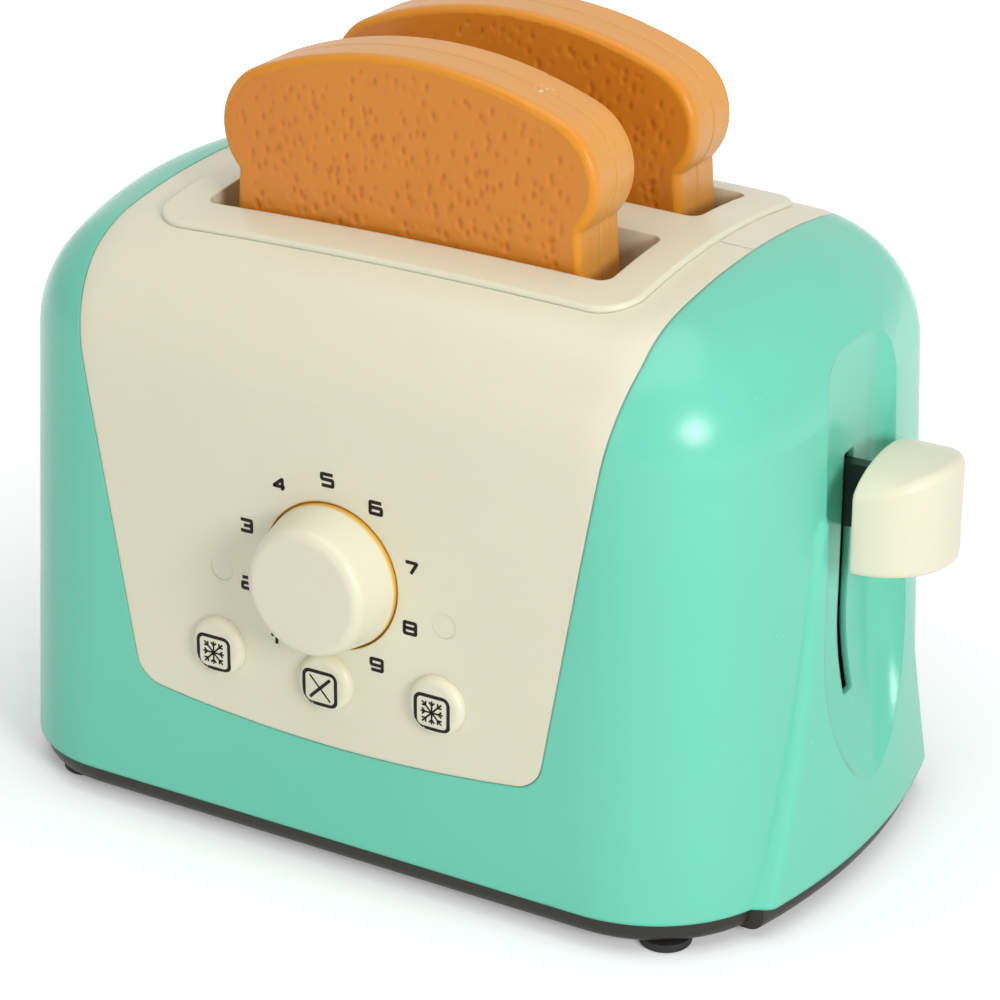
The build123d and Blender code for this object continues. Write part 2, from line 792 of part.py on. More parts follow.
# ==== dial, spindle with its cam, mechanism plate and trip latch ===================================
dial_back = dial_seat + dial_float
with BuildPart() as dial_knob:
    with BuildSketch(Plane.YZ) as dial_profile:
        with BuildLine():
            Polyline(
                (-dial_back, dial_height),
                (-dial_back, dial_height + dial_base_radius),
                (-dial_front, dial_height + dial_face_radius),
                (-dial_front, dial_height),
                close=True,
            )
        make_face()
        fillet(dial_profile.vertices().group_by(Axis.X)[0].sort_by(Axis.Y)[-1], dial_edge)
    revolve(axis=Axis((0, 0, dial_height), (0, 1, 0)))
    with BuildSketch(Plane.XZ.offset(dial_back)):
        with Locations((0, dial_height)):
            Circle(dial_base_radius - dial_wall)
            Circle(hub_radius, mode=Mode.SUBTRACT)
    extrude(amount=dial_front - dial_back - dial_wall - 1, taper=6, mode=Mode.SUBTRACT)
    with BuildSketch(Plane.XZ.offset(dial_back)):
        with Locations((0, dial_height)):
            Circle(spindle_radius + push_fit)
    extrude(amount=dial_front - dial_back - dial_wall, mode=Mode.SUBTRACT)
keep(dial_knob.part, "dial_knob")

cam_front = plate_back - layer_gap
cam_back = cam_front - cam_thickness
with BuildPart() as dial_spindle:
    with BuildSketch(Plane.XZ.offset(cam_back)):
        with Locations((0, dial_height)):
            Circle(spindle_radius)
    extrude(amount=dial_front - dial_wall - push_fit - cam_back)
    with BuildSketch(Plane.XZ.offset(cam_back)):
        with BuildSketch(mode=Mode.PRIVATE) as cam_outline:
            Circle(cam_base_radius)
            with Locations((cam_reach - cam_tip_radius, 0)):
                Circle(cam_tip_radius)
            make_hull()
        with Locations((0, dial_height)):
            add(cam_outline.sketch, rotation=cam_angle)
    extrude(amount=cam_thickness)
keep(dial_spindle.part, "dial_spindle")

with BuildPart() as mechanism_plate:
    with BuildSketch(Plane.XZ.offset(plate_back)):
        with Locations((-boss_x, boss_height), (boss_x, boss_height)):
            Circle(boss_radius + 1)
        with Locations((0, dial_height)):
            Circle(hub_radius + 1)
        with Locations((pivot_x, pivot_height)):
            Circle(pivot_hub_radius + 1)
        make_hull()
    extrude(amount=plate_thickness)
    with BuildSketch(Plane.XZ):
        with Locations((0, dial_height)):
            Circle(spindle_radius + spindle_running_gap)
        with Locations((-boss_x, boss_height), (boss_x, boss_height)):
            Circle(screw_radius + screw_clearance)
        with Locations((pivot_x, pivot_height)):
            Circle(pin_radius + push_fit / 2)
    extrude(amount=outside, mode=Mode.SUBTRACT)
keep(mechanism_plate.part, "mechanism_plate")

with BuildPart() as mechanism_screws:
    with Locations((-boss_x, -plate_back, boss_height), (boss_x, -plate_back, boss_height)):
        add(screw(5.4), rotation=(90, 0, 0))
keep(mechanism_screws.part, "mechanism_screws")

follower_x = cam_base_radius + follower_gap + follower_radius
hook_bottom = catch_top - travel + follower_gap
with BuildPart() as latch_lever:
    with BuildSketch(Plane.XZ.offset(cam_back)):
        with Locations((pivot_x, pivot_height)):
            Circle(pivot_hub_radius)
        with Locations((follower_x, dial_height)):
            Circle(follower_radius)
        make_hull()
    extrude(amount=cam_thickness)
    with BuildSketch(Plane.XZ.offset(cam_back - hook_depth)):
        with Locations((hook_tip, hook_bottom)):
            Rectangle(hook_root - hook_tip, hook_height, align=(Align.MIN, Align.MIN))
    extrude(amount=hook_depth + cam_thickness)
    with BuildSketch(Plane.XZ):
        with Locations((pivot_x, pivot_height)):
            Circle(pin_radius + pin_running_gap)
    extrude(amount=outside, mode=Mode.SUBTRACT)
open_latch = latch_lever.part.rotate(Axis((pivot_x, 0, pivot_height), (0, 1, 0)), latch_swing)
keep(open_latch, "latch_lever")

with BuildPart() as latch_pin:
    with BuildSketch(Plane.XZ.offset(cam_back - layer_gap)):
        with Locations((pivot_x, pivot_height)):
            Circle(pin_radius)
    extrude(amount=plate_front - cam_back + layer_gap)
    with BuildSketch(Plane.XZ.offset(cam_back - layer_gap - 1)):
        with Locations((pivot_x, pivot_height)):
            Circle(pin_head_radius)
    extrude(amount=1 + layer_gap / 2)
keep(latch_pin.part, "latch_pin")


# ==== toast slices ================================================================================
def toast_outline(inset):
    """Slice of tin bread seen from the front: straight sides, waist and bulging crown."""
    with BuildSketch() as slice_outline:
        with BuildLine():
            Polyline(
                (-toast_side_half, toast_side_top),
                (-toast_side_half, toast_bottom),
                (toast_side_half, toast_bottom),
                (toast_side_half, toast_side_top),
            )
            Line((toast_side_half, toast_side_top), (toast_neck_half, toast_neck_height))
            ThreePointArc(
                (toast_neck_half, toast_neck_height),
                (toast_bulge_half, toast_bulge_height),
                (toast_shoulder_half, toast_shoulder_height),
            )
            ThreePointArc(
                (toast_shoulder_half, toast_shoulder_height),
                (0, toast_top),
                (-toast_shoulder_half, toast_shoulder_height),
            )
            ThreePointArc(
                (-toast_shoulder_half, toast_shoulder_height),
                (-toast_bulge_half, toast_bulge_height),
                (-toast_neck_half, toast_neck_height),
            )
            Line((-toast_neck_half, toast_neck_height), (-toast_side_half, toast_side_top))
        make_face()
        fillet(slice_outline.vertices().group_by(Axis.Y)[0], toast_corner)
        fillet(slice_outline.vertices().filter_by_position(Axis.Y, toast_neck_height, toast_neck_height), 1)
        if inset:
            offset(amount=-inset, mode=Mode.REPLACE)
    return slice_outline.sketch


with BuildPart() as toast:
    with BuildSketch(Plane.XZ.offset(-toast_thickness / 2)):
        add(toast_outline(0))
    extrude(amount=toast_thickness)
    fillet(toast.faces().filter_by(Axis.Y).edges(), toast_edge)
    face_depth = toast_thickness / 2 - toast_face_recess
    with BuildSketch(Plane.XZ.offset(face_depth)):
        add(toast_outline(toast_rim))
    extrude(amount=2 * toast_face_recess, mode=Mode.SUBTRACT)
    with BuildSketch(Plane.XZ.offset(-face_depth)):
        add(toast_outline(toast_rim))
    extrude(amount=-2 * toast_face_recess, mode=Mode.SUBTRACT)
    # each slice is two hollow halves joined at half its thickness
    hollow_depth = face_depth - toast_wall
    with BuildSketch(Plane.XZ.offset(-hollow_depth)):
        add(toast_outline(toast_rim))
    extrude(amount=2 * hollow_depth, mode=Mode.SUBTRACT)

with BuildPart() as near_half:
    add(toast.part)
    Box(outside, outside, 2 * outside, align=(Align.CENTER, Align.MAX, Align.MIN), mode=Mode.INTERSECT)
    chamfer(near_half.faces().sort_by(Axis.Y)[-1].outer_wire().edges(), toast_seam_edge)
with BuildPart() as far_half:
    add(toast.part)
    Box(outside, outside, 2 * outside, align=(Align.CENTER, Align.MIN, Align.MIN), mode=Mode.INTERSECT)
    chamfer(far_half.faces().sort_by(Axis.Y)[0].outer_wire().edges(), toast_seam_edge)
for y, slice_name in ((-toast_pitch / 2, "toast_front"), (toast_pitch / 2, "toast_rear")):
    keep(Pos(0, y, 0) * near_half.part, slice_name + "_near_half")
    keep(Pos(0, y, 0) * far_half.part, slice_name + "_far_half")
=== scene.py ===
# %% [markdown]
# # Toy toaster
# A mint pop-up toaster for a play kitchen, with cream saddle panels, two toy toast slices,
# a dial with the numbers 1 to 9 and a cream lever knob. The rigid mouldings come packed from
# CAD and stay as they are. Blender gives them their plastics, their printed marks and the
# pitted crumb of the toast, and then sets up the studio.

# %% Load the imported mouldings
from math import cos, pi, radians, sin, tan

import bpy
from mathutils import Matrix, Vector
from mathutils.bvhtree import BVHTree


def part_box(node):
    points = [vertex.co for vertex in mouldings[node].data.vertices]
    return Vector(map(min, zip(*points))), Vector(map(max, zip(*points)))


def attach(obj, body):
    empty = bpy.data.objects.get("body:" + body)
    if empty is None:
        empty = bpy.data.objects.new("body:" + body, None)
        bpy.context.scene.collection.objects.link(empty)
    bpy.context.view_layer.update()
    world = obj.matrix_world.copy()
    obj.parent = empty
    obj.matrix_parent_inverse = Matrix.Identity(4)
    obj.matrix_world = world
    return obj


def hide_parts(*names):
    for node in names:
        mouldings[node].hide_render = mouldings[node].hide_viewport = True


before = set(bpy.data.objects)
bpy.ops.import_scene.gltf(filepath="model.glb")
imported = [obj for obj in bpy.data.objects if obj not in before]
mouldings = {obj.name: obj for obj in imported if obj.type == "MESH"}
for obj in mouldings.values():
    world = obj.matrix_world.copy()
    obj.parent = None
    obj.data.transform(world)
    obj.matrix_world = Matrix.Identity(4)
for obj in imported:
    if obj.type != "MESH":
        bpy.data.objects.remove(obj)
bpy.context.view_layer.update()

# %% [markdown]
# ## Units and colour
# Every length below is written in millimetres, as on a moulder's drawing, and multiplied by
# MM. Paint chips are written as sRGB hex. A shader wants linear light, so one function
# turns a chip into linear values. The alternative, typing linear numbers, hides the colour.

# %% Millimetres and paint chips
MM = 0.001


def chip(code):
    """Linear RGBA of an sRGB hex colour such as 8CE4C6."""
    channels = [int(code[place:place + 2], 16) / 255 for place in (0, 2, 4)]
    return [c / 12.92 if c <= 0.04045 else ((c + 0.055) / 1.055) ** 2.4 for c in channels] + [1]


print("white chip", chip("FFFFFF"))

# %% [markdown]
# ## One helper for node trees
# A finish is a small tree of shader nodes. Node trees are long when each setting takes a
# line, so a single helper adds a node, sets its options, and fills or links its inputs.
# An input is named, or numbered where a node has two inputs of one name.

# %% A node with its settings and links
def add_node(tree, kind, options, inputs):
    """Add a node, set its options, and give each input a value or the output it reads."""
    made = tree.nodes.new(kind)
    for name, value in options.items():
        setattr(made, name, value)
    for name, value in inputs.items():
        if isinstance(value, bpy.types.NodeSocket):
            tree.links.new(value, made.inputs[name])
        else:
            made.inputs[name].default_value = value
    return made


def new_finish(name):
    """Empty material with object coordinates; returns its tree, surface output and coordinates."""
    finish = bpy.data.materials.new(name)
    finish.use_nodes = True
    finish.node_tree.nodes.clear()
    surface = add_node(finish.node_tree, "ShaderNodeOutputMaterial", {}, {})
    place = add_node(finish.node_tree, "ShaderNodeTexCoord", {}, {}).outputs["Object"]
    return finish, finish.node_tree, surface.inputs["Surface"], place


# %% [markdown]
# ## Camera
# The toaster is seen from the front right and from above, with the lever end turned
# towards the viewer. A long lens keeps the sides nearly parallel, as on a catalogue page.

# %% Catalogue camera
CAMERA_PLACE = (0.346, -0.58662, 0.3756)
CAMERA_TILT = radians(65.88)
CAMERA_TURN = radians(30.47)
LENS = 117.5
FILM_WIDTH = 36
bpy.ops.object.camera_add(location=CAMERA_PLACE, rotation=(CAMERA_TILT, 0, CAMERA_TURN))
camera = bpy.context.object
camera.name = "catalogue_camera"
camera.data.lens = LENS
camera.data.sensor_width = FILM_WIDTH
bpy.context.scene.camera = camera
print("camera at", tuple(camera.location))

# %% [markdown]
# ## Studio
# A toy is best shown on a white sweep that is lit from below, under large soft lamps. The
# sweep is a floor that takes the shadow and glows for the eye, for mirror images and
# through clear things, but gives the object no light. It glows little close to the object,
# where the shadow lies, and nearly white further out. The world does the same: an even grey
# fill for light, white for what looks at it. A lamp with a round screen stands to the right
# and leaves a round highlight on the corner of the glossy shell.

# %% White floor that keeps the shadow
FLOOR_SIZE = 6
NEAR_GLOW, FAR_GLOW = 0.2, 0.95
NEAR_LIMIT, FAR_LIMIT = 0.12, 0.6
bpy.ops.mesh.primitive_plane_add(size=FLOOR_SIZE, location=(0, 0, 0))
floor = bpy.context.object
floor.name = "white_floor"


def looked_at(tree):
    """Output that is 1 for camera, glossy and transmission rays and 0 for light on the object."""
    rays = add_node(tree, "ShaderNodeLightPath", {}, {})
    mirror = add_node(tree, "ShaderNodeMath", {"operation": "MAXIMUM"},
                      {0: rays.outputs["Is Camera Ray"], 1: rays.outputs["Is Glossy Ray"]})
    return add_node(tree, "ShaderNodeMath", {"operation": "MAXIMUM"},
                    {0: mirror.outputs[0], 1: rays.outputs["Is Transmission Ray"]}).outputs[0]


white_sweep, tree, surface, place = new_finish("white_paper_sweep")
paper = add_node(tree, "ShaderNodeBsdfDiffuse", {}, {"Color": chip("FFFFFF")})
far_off = add_node(tree, "ShaderNodeVectorMath", {"operation": "LENGTH"}, {0: place})
rise = add_node(tree, "ShaderNodeMapRange", {}, {
    "Value": far_off.outputs["Value"], "From Min": NEAR_LIMIT, "From Max": FAR_LIMIT,
    "To Min": NEAR_GLOW, "To Max": FAR_GLOW})
glow = add_node(tree, "ShaderNodeMath", {"operation": "MULTIPLY"},
                {0: looked_at(tree), 1: rise.outputs[0]})
bright = add_node(tree, "ShaderNodeEmission", {},
                  {"Color": chip("FFFFFF"), "Strength": glow.outputs[0]})
sweep_sum = add_node(tree, "ShaderNodeAddShader", {}, {0: paper.outputs[0], 1: bright.outputs[0]})
tree.links.new(sweep_sum.outputs[0], surface)
floor.data.materials.append(white_sweep)
print("floor", floor.dimensions[:])

# %% World fill
WORLD_FILL = 0.26
WORLD_WHITE = 1.0
world = bpy.data.worlds.new("studio_fill")
bpy.context.scene.world = world
world.use_nodes = True
world.node_tree.nodes.clear()
tree = world.node_tree
fill = add_node(tree, "ShaderNodeBackground", {}, {"Color": chip("FFFFFF"), "Strength": WORLD_FILL})
backdrop = add_node(tree, "ShaderNodeBackground", {},
                    {"Color": chip("FFFFFF"), "Strength": WORLD_WHITE})
world_mix = add_node(tree, "ShaderNodeMixShader", {},
                     {0: looked_at(tree), 1: fill.outputs[0], 2: backdrop.outputs[0]})
add_node(tree, "ShaderNodeOutputWorld", {}, {"Surface": world_mix.outputs[0]})
bpy.context.scene.view_settings.view_transform = "Standard"
print("world fill strength", WORLD_FILL)


# %% Soft lamps
def soft_lamp(name, shape, place, aim, width, height, power):
    """Area lamp at a place, turned to face a point."""
    bpy.ops.object.light_add(type="AREA", location=place)
    lamp = bpy.context.object
    lamp.name = name
    lamp.data.shape = shape
    lamp.data.size = width
    lamp.data.size_y = height
    lamp.data.energy = power
    lamp.rotation_euler = (Vector(aim) - Vector(place)).to_track_quat("-Z", "Y").to_euler()
    print(name, "watts", power)


soft_lamp("overhead_box", "RECTANGLE", place=(0.1, -0.1, 1.1), aim=(0, 0, 0.1),
          width=1.0, height=1.0, power=5.7)
soft_lamp("right_round_screen", "ELLIPSE", place=(1.05, -0.6, 0.5), aim=(0, 0, 0.08),
          width=0.42, height=0.42, power=8.3)
soft_lamp("front_box", "RECTANGLE", place=(-0.2, -1.5, 0.6), aim=(0, 0, 0.08),
          width=0.9, height=0.7, power=2.8)

# %% [markdown]
# ## Mint body plastic
# The shell is glossy ABS in one mould colour. Real mouldings are never perfectly even: the
# pigment drifts a little in the flow and the polished skin has a long, very shallow wave
# that bends the highlights. Slow noise does both, with a finer noise for the roughness. A
# mould never has a knife edge either, and a bevel node rounds each edge by a millimetre,
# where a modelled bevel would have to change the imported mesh.

# %% Polished mint ABS
mint_abs, tree, surface, place = new_finish("polished_mint_abs")
drift = add_node(tree, "ShaderNodeTexNoise", {},
                 {"Vector": place, "Scale": 1 / (60 * MM), "Detail": 2.0})
mint = add_node(tree, "ShaderNodeMix", {"data_type": "RGBA"},
                {0: drift.outputs["Fac"], 6: chip("66C9AD"), 7: chip("70CFB3")})
scuff = add_node(tree, "ShaderNodeTexNoise", {},
                 {"Vector": place, "Scale": 1 / (9 * MM), "Detail": 6.0})
sheen = add_node(tree, "ShaderNodeMapRange", {},
                 {"Value": scuff.outputs["Fac"], "To Min": 0.2, "To Max": 0.3})
swell = add_node(tree, "ShaderNodeTexNoise", {},
                 {"Vector": place, "Scale": 1 / (22 * MM), "Detail": 1.0})
soft_edge = add_node(tree, "ShaderNodeBevel", {"samples": 4}, {"Radius": 1.0 * MM})
skin = add_node(tree, "ShaderNodeBump", {},
                {"Height": swell.outputs["Fac"], "Strength": 1.0, "Distance": 0.08 * MM,
                 "Normal": soft_edge.outputs[0]})
mint_bsdf = add_node(tree, "ShaderNodeBsdfPrincipled", {}, {
    "Base Color": mint.outputs[2], "Roughness": sheen.outputs[0], "Normal": skin.outputs[0],
    "Specular IOR Level": 0.38})
tree.links.new(mint_bsdf.outputs[0], surface)
print("made", mint_abs.name)

# %% [markdown]
# ## Cream plastic
# Panels, frame, dial and lever knob are satin ABS in a warm cream. It lets a little light
# in, so edges and thin rims glow yellow. Subsurface scattering with a warm radius gives
# that, and a fine even grain takes the shine down to satin.

# %% Satin cream ABS
cream_abs, tree, surface, place = new_finish("satin_cream_abs")
drift = add_node(tree, "ShaderNodeTexNoise", {},
                 {"Vector": place, "Scale": 1 / (45 * MM), "Detail": 2.0})
cream = add_node(tree, "ShaderNodeMix", {"name": "cream tone", "data_type": "RGBA"},
                 {0: drift.outputs["Fac"], 6: chip("DCD9BF"), 7: chip("E1DEC6")})
grain = add_node(tree, "ShaderNodeTexNoise", {},
                 {"Vector": place, "Scale": 1 / (0.5 * MM), "Detail": 2.0})
soft_edge = add_node(tree, "ShaderNodeBevel", {"samples": 4}, {"Radius": 0.7 * MM})
fine_skin = add_node(tree, "ShaderNodeBump", {},
                     {"Height": grain.outputs["Fac"], "Strength": 0.4, "Distance": 0.01 * MM,
                      "Normal": soft_edge.outputs[0]})
satin = add_node(tree, "ShaderNodeMapRange", {},
                 {"Value": drift.outputs["Fac"], "To Min": 0.3, "To Max": 0.4})
cream_bsdf = add_node(tree, "ShaderNodeBsdfPrincipled", {"name": "cream plastic"}, {
    "Base Color": cream.outputs[2], "Roughness": satin.outputs[0], "Normal": fine_skin.outputs[0],
    "Subsurface Weight": 0.2, "Subsurface Radius": (1.0, 0.75, 0.35), "Subsurface Scale": 2.0 * MM})
tree.links.new(cream_bsdf.outputs[0], surface)
print("made", cream_abs.name)

# %% [markdown]
# ## Amber in the dial's gap
# Light that gets into the narrow gap round the dial goes through cream plastic many times
# and comes out amber. A renderer follows too few bounces for that, so this gap light and shade
# is painted: the front panel gets a copy of the cream whose colour turns amber inside the
# dial's seat, measured from the dial's axis, and the dial gets one that turns amber towards its foot.

# %% Cream with a painted amber ring of gap light and shade
DIAL_LOW, DIAL_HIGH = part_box("dial_knob")
DIAL_X = (DIAL_LOW.x + DIAL_HIGH.x) / 2
DIAL_Z = (DIAL_LOW.z + DIAL_HIGH.z) / 2


def paint_gap_light(name, directions, inside, outside):
    """Copy of the cream with painted amber gap light and shade close to the middle of the dial's foot.

    The distance counts only along the axes that directions marks with a 1.
    """
    tinted = cream_abs.copy()
    tinted.name = name
    tree = tinted.node_tree
    place = add_node(tree, "ShaderNodeTexCoord", {}, {}).outputs["Object"]
    spot = add_node(tree, "ShaderNodeVectorMath", {"operation": "SUBTRACT"},
                    {0: place, 1: (DIAL_X, DIAL_HIGH.y, DIAL_Z)})
    counted = add_node(tree, "ShaderNodeVectorMath", {"operation": "MULTIPLY"},
                       {0: spot.outputs[0], 1: directions})
    length = add_node(tree, "ShaderNodeVectorMath", {"operation": "LENGTH"}, {0: counted.outputs[0]})
    gap_light_share = add_node(tree, "ShaderNodeMapRange", {}, {
        "Value": length.outputs["Value"], "From Min": inside, "From Max": outside,
        "To Min": 1.0, "To Max": 0.0})
    # Painted gap light and shade: the cream turns amber near the dial's foot.
    painted_gap_light = add_node(tree, "ShaderNodeMix", {"data_type": "RGBA"},
                     {0: gap_light_share.outputs[0], 6: tree.nodes["cream tone"].outputs[2], 7: chip("E2AE3C")})
    tree.links.new(painted_gap_light.outputs[2], tree.nodes["cream plastic"].inputs["Base Color"])
    print("made", tinted.name)
    return tinted


# Painted amber gap light and shade in the panel's seat and at the foot of the dial.
panel_abs = paint_gap_light("satin_cream_abs_panel_painted_gap_light", (1, 0, 1), 17.1 * MM, 17.25 * MM)
dial_abs = paint_gap_light("satin_cream_abs_dial_painted_gap_light", (0, 1, 0), 0.9 * MM, 1.7 * MM)

# %% [markdown]
# ## Black mouldings, rubber and steel
# The base band is black ABS with a low sheen, the works are black acetal, the feet are
# rubber, and rods, spring and screws are plain steel. Most of it is hidden, yet each gets
# the texture that tells one from the other: flow marks, dust and drawn lines.

# %% Black ABS of the base
black_abs, tree, surface, place = new_finish("moulded_black_abs")
flow = add_node(tree, "ShaderNodeTexNoise", {},
                {"Vector": place, "Scale": 1 / (14 * MM), "Detail": 5.0})
soot = add_node(tree, "ShaderNodeMix", {"data_type": "RGBA"},
                {0: flow.outputs["Fac"], 6: chip("17130F"), 7: chip("221D19")})
dull = add_node(tree, "ShaderNodeMapRange", {},
                {"Value": flow.outputs["Fac"], "To Min": 0.32, "To Max": 0.5})
dimple = add_node(tree, "ShaderNodeTexNoise", {},
                  {"Vector": place, "Scale": 1 / (0.8 * MM), "Detail": 3.0})
leather = add_node(tree, "ShaderNodeBump", {},
                   {"Height": dimple.outputs["Fac"], "Strength": 0.5, "Distance": 0.02 * MM})
black_bsdf = add_node(tree, "ShaderNodeBsdfPrincipled", {}, {
    "Base Color": soot.outputs[2], "Roughness": dull.outputs[0], "Normal": leather.outputs[0]})
tree.links.new(black_bsdf.outputs[0], surface)
print("made", black_abs.name)

# %% Black acetal of the works
acetal, tree, surface, place = new_finish("tumbled_black_acetal")
flow = add_node(tree, "ShaderNodeTexNoise", {},
                {"Vector": place, "Scale": 1 / (5 * MM), "Detail": 4.0})
slate = add_node(tree, "ShaderNodeMix", {"data_type": "RGBA"},
                 {0: flow.outputs["Fac"], 6: chip("141414"), 7: chip("242322")})
waxy = add_node(tree, "ShaderNodeMapRange", {},
                {"Value": flow.outputs["Fac"], "To Min": 0.3, "To Max": 0.45})
acetal_bsdf = add_node(tree, "ShaderNodeBsdfPrincipled", {}, {
    "Base Color": slate.outputs[2], "Roughness": waxy.outputs[0]})
tree.links.new(acetal_bsdf.outputs[0], surface)
print("made", acetal.name)

# %% Rubber of the feet
rubber, tree, surface, place = new_finish("pressed_black_rubber")
dust = add_node(tree, "ShaderNodeTexNoise", {},
                {"Vector": place, "Scale": 1 / (1.5 * MM), "Detail": 6.0})
chalk = add_node(tree, "ShaderNodeMix", {"data_type": "RGBA"},
                 {0: dust.outputs["Fac"], 6: chip("100F0F"), 7: chip("2B2928")})
rough_skin = add_node(tree, "ShaderNodeBump", {},
                      {"Height": dust.outputs["Fac"], "Strength": 0.8, "Distance": 0.03 * MM})
rubber_bsdf = add_node(tree, "ShaderNodeBsdfPrincipled", {}, {
    "Base Color": chalk.outputs[2], "Roughness": 0.75, "Normal": rough_skin.outputs[0]})
tree.links.new(rubber_bsdf.outputs[0], surface)
print("made", rubber.name)

# %% Drawn steel
steel, tree, surface, place = new_finish("drawn_bright_steel")
along = add_node(tree, "ShaderNodeMapping", {}, {"Vector": place, "Scale": (1, 1, 0.05)})
draw = add_node(tree, "ShaderNodeTexNoise", {},
                {"Vector": along.outputs[0], "Scale": 1 / (0.3 * MM), "Detail": 3.0})
grey = add_node(tree, "ShaderNodeMix", {"data_type": "RGBA"},
                {0: draw.outputs["Fac"], 6: chip("A9A9A6"), 7: chip("C9C9C7")})
brush = add_node(tree, "ShaderNodeMapRange", {},
                 {"Value": draw.outputs["Fac"], "To Min": 0.2, "To Max": 0.38})
steel_bsdf = add_node(tree, "ShaderNodeBsdfPrincipled", {}, {
    "Base Color": grey.outputs[2], "Roughness": brush.outputs[0], "Metallic": 1.0})
tree.links.new(steel_bsdf.outputs[0], surface)
print("made", steel.name)

# %% [markdown]
# ## Toast plastics
# A toy slice is moulded in two halves in a caramel plastic. The crust band is smooth with
# faint drawn lines along its length, turns a deeper yellow towards its outer edges and has
# one small pale scuff. The crumb is more orange, with painted shade in its pits. The depth
# below the face is the distance from the slice's middle plane, and the boxes tell where that is.

# %% Distance from the middle plane of either slice
FRONT_SLICE_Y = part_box("toast_front_near_half")[1].y
REAR_SLICE_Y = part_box("toast_rear_near_half")[1].y


def slice_depth(tree, place):
    """Output with the distance from the middle plane of the nearer slice, in metres.

    The depth is folded at the plane between the slices, then at the plane of one slice.
    """
    folded = add_node(tree, "ShaderNodeSeparateXYZ", {}, {0: place}).outputs["Y"]
    for shift in ((FRONT_SLICE_Y + REAR_SLICE_Y) / 2, (REAR_SLICE_Y - FRONT_SLICE_Y) / 2):
        moved = add_node(tree, "ShaderNodeMath", {"operation": "SUBTRACT"}, {0: folded, 1: shift})
        folded = add_node(tree, "ShaderNodeMath", {"operation": "ABSOLUTE"},
                          {0: moved.outputs[0]}).outputs[0]
    return folded


print("middle planes at", FRONT_SLICE_Y / MM, REAR_SLICE_Y / MM)

# %% Caramel crust
HONEY_START, HONEY_FULL = 6.2 * MM, 8.6 * MM
SCUFF_SPOT = (21.8 * MM, FRONT_SLICE_Y, 176.4 * MM)
SCUFF_CORE, SCUFF_REACH = 0.6 * MM, 3.2 * MM
crust, tree, surface, place = new_finish("moulded_caramel_crust")
lines = add_node(tree, "ShaderNodeMapping", {}, {"Vector": place, "Scale": (0.05, 1, 0.05)})
drawn = add_node(tree, "ShaderNodeTexNoise", {},
                 {"Vector": lines.outputs[0], "Scale": 1 / (1.2 * MM), "Detail": 3.0})
caramel = add_node(tree, "ShaderNodeMix", {"data_type": "RGBA"},
                   {0: drawn.outputs["Fac"], 6: chip("D89440"), 7: chip("E2A352")})
edge_share = add_node(tree, "ShaderNodeMapRange", {}, {
    "Value": slice_depth(tree, place), "From Min": HONEY_START, "From Max": HONEY_FULL})
honey = add_node(tree, "ShaderNodeMix", {"data_type": "RGBA"},
                 {0: edge_share.outputs[0], 6: caramel.outputs[2], 7: chip("DC8E1E")})
away = add_node(tree, "ShaderNodeVectorMath", {"operation": "DISTANCE"}, {0: place, 1: SCUFF_SPOT})
near = add_node(tree, "ShaderNodeMapRange", {}, {
    "Value": away.outputs["Value"], "From Min": SCUFF_CORE, "From Max": SCUFF_REACH,
    "To Min": 1.0, "To Max": 0.0})
scratch = add_node(tree, "ShaderNodeTexNoise", {},
                   {"Vector": place, "Scale": 1 / (0.8 * MM), "Detail": 4.0})
worn = add_node(tree, "ShaderNodeMapRange", {}, {
    "Value": scratch.outputs["Fac"], "From Min": 0.56, "From Max": 0.62, "To Max": near.outputs[0]})
scuffed = add_node(tree, "ShaderNodeMix", {"data_type": "RGBA"},
                   {0: worn.outputs[0], 6: honey.outputs[2], 7: chip("F0D9B4")})
soft_edge = add_node(tree, "ShaderNodeBevel", {"samples": 4}, {"Radius": 0.8 * MM})
band_skin = add_node(tree, "ShaderNodeBump", {},
                     {"Height": drawn.outputs["Fac"], "Strength": 0.6, "Distance": 0.04 * MM,
                      "Normal": soft_edge.outputs[0]})
crust_bsdf = add_node(tree, "ShaderNodeBsdfPrincipled", {}, {
    "Base Color": scuffed.outputs[2], "Roughness": 0.36, "Normal": band_skin.outputs[0],
    "Specular IOR Level": 0.35,
    "Subsurface Weight": 0.3, "Subsurface Radius": (1.0, 0.45, 0.12), "Subsurface Scale": 3 * MM})
tree.links.new(crust_bsdf.outputs[0], surface)
print("made", crust.name)

# %% Toasted crumb
PIT_DEPTH, FACE_DEPTH = 8.68 * MM, 8.94 * MM
crumb, tree, surface, place = new_finish("moulded_toasted_crumb")
browning = add_node(tree, "ShaderNodeTexNoise", {},
                    {"Vector": place, "Scale": 1 / (18 * MM), "Detail": 3.0})
toasted = add_node(tree, "ShaderNodeMix", {"data_type": "RGBA"},
                   {0: browning.outputs["Fac"], 6: chip("D07A1E"), 7: chip("DB8A2A")})
# Painted shade: the crumb is coloured darker where it lies below the face, in the pits.
out_of_pit_shade = add_node(tree, "ShaderNodeMapRange", {}, {
    "Value": slice_depth(tree, place), "From Min": PIT_DEPTH, "From Max": FACE_DEPTH})
pitted = add_node(tree, "ShaderNodeMix", {"data_type": "RGBA"},
                  {0: out_of_pit_shade.outputs[0], 6: chip("CC6E14"), 7: toasted.outputs[2]})
pores = add_node(tree, "ShaderNodeTexNoise", {},
                 {"Vector": place, "Scale": 1 / (1.4 * MM), "Detail": 3.0})
pore_skin = add_node(tree, "ShaderNodeBump", {},
                     {"Height": pores.outputs["Fac"], "Strength": 0.5, "Distance": 0.1 * MM})
crumb_bsdf = add_node(tree, "ShaderNodeBsdfPrincipled", {}, {
    "Base Color": pitted.outputs[2], "Roughness": 0.3, "Normal": pore_skin.outputs[0],
    "Specular IOR Level": 0.35,
    "Subsurface Weight": 0.2, "Subsurface Radius": (1.0, 0.4, 0.1), "Subsurface Scale": 2 * MM})
tree.links.new(crumb_bsdf.outputs[0], surface)
print("made", crumb.name)

